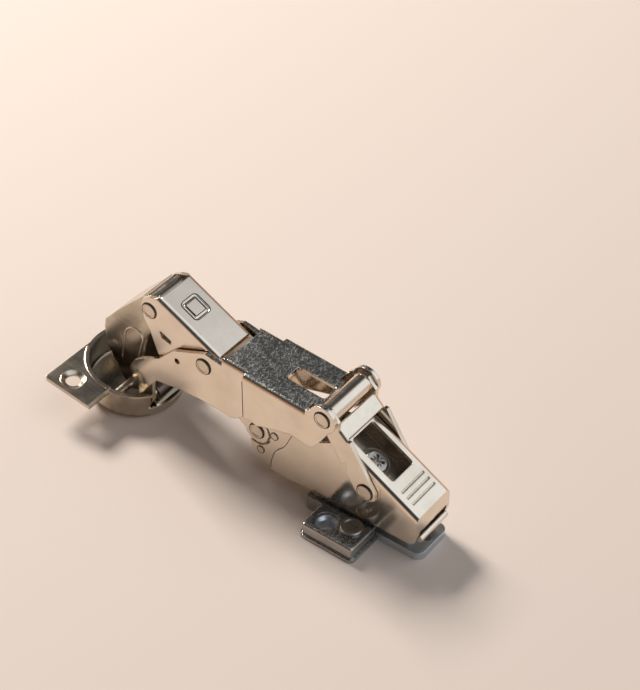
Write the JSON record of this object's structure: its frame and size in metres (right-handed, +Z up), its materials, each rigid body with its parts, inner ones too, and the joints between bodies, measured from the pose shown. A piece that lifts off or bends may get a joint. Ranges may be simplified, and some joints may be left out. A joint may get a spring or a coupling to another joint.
{
  "type": "concealed cup hinge",
  "caption": "Wide-opening concealed cup hinge with linked levers, a sloping clip-on arm, depth screw, release lever and mounting plate.",
  "frame": {"origin": "midway between the mounting plate's fixing holes, on its underside", "axes": "+X from the cup to the plate's rear end, +Z up from the plate's underside, -Y the near side"},
  "size_m": [0.1458, 0.0566, 0.0569],
  "materials": {
    "nickel_bright": "bright nickel plate",
    "nickel_dark": "nickel plate, darker",
    "zinc_cast": "die-cast, bluish zinc",
    "screw_steel": "plated screw",
    "rivet_nickel": "plated rivet",
    "spring_steel": "oiled spring wire"
  },
  "bodies": {
    "mounting_plate": {"plate_base": "zinc_cast", "plate_wings": "nickel_dark", "inner_channel": "nickel_dark", "release_pin": "screw_steel", "release_spring": "spring_steel"},
    "cam": {"height_cam_screw": "screw_steel"},
    "depth_adjuster": {"depth_screw": "screw_steel"},
    "release": {"release_lever": "nickel_bright"},
    "arm": {"arm_housing": "nickel_bright", "front_bracket": "nickel_bright", "side_rivets": "rivet_nickel", "channel_rivet": "rivet_nickel", "arm_front_pin": "rivet_nickel", "arm_rear_rivets": "rivet_nickel"},
    "rear_lever": {"rear_link": "nickel_bright", "rear_link_pin": "rivet_nickel"},
    "upper": {"upper_lever": "nickel_bright", "cross_pin": "rivet_nickel", "link_top_pin": "rivet_nickel"},
    "long": {"long_lever": "nickel_bright", "lever_rear_rivets": "rivet_nickel"},
    "link": {"cup_link": "nickel_bright"},
    "hinge_cup": {"cup": "nickel_bright", "cup_lever_pin": "rivet_nickel", "cup_link_pins": "rivet_nickel", "cup_spring": "spring_steel"}
  },
  "joints": [
    {"name": "opening", "type": "hinge", "parent": "long", "child": "hinge_cup", "pos_m": [-0.0841, 0, 0.0078], "axis": [0, -1, 0], "range_deg": [-37.7, 77.6]},
    {"name": "upper_lever_turn", "type": "hinge", "parent": "arm", "child": "upper", "pos_m": [-0.0347, 0, 0.0206], "axis": [0, -1, 0], "range_deg": [-14.3, 29.4]},
    {"name": "long_lever_turn", "type": "hinge", "parent": "upper", "child": "long", "pos_m": [-0.0551, 0, 0.0394], "axis": [0, -1, 0], "range_deg": [-24.7, 12]},
    {"name": "cup_link_turn", "type": "hinge", "parent": "upper", "child": "link", "pos_m": [-0.0797, 0, 0.0494], "axis": [0, -1, 0], "range_deg": [-23, 11.2]},
    {"name": "rear_link_turn", "type": "hinge", "parent": "arm", "child": "rear_lever", "pos_m": [0.0109, 0, 0.0217], "axis": [0, -1, 0], "range_deg": [-11.8, 24.3]},
    {"name": "depth_screw_turn", "type": "hinge", "parent": "mounting_plate", "child": "depth_adjuster", "pos_m": [0.00707, 0, 0.02366], "axis": [0.488, 0, 0.8728], "range_deg": [-180.1, 180.1]},
    {"name": "depth_slide", "type": "slide", "parent": "mounting_plate", "child": "arm", "axis": [1, 0, 0], "range_m": [-0.002, 0.002]},
    {"name": "height_cam_turn", "type": "hinge", "parent": "mounting_plate", "child": "cam", "pos_m": [0.0082, -0.0136, 0.005], "axis": [0, 0, 1], "range_deg": [-90, 90]},
    {"name": "release_press", "type": "hinge", "parent": "mounting_plate", "child": "release", "pos_m": [0.0206, 0, 0.0132], "axis": [0, 1, 0], "range_deg": [0, 7], "stiffness_Nm_per_rad": 0.05, "springref_deg": -11.46}
  ],
  "couplings": [
    {"joint": "upper_lever_turn", "follows": "opening", "ratio": 0.3788},
    {"joint": "long_lever_turn", "follows": "opening", "ratio": -0.3182},
    {"joint": "cup_link_turn", "follows": "opening", "ratio": -0.2958},
    {"joint": "rear_link_turn", "follows": "opening", "ratio": 0.3125},
    {"joint": "depth_screw_turn", "follows": "depth_slide", "rad_per_m": 1570.8}
  ]
}
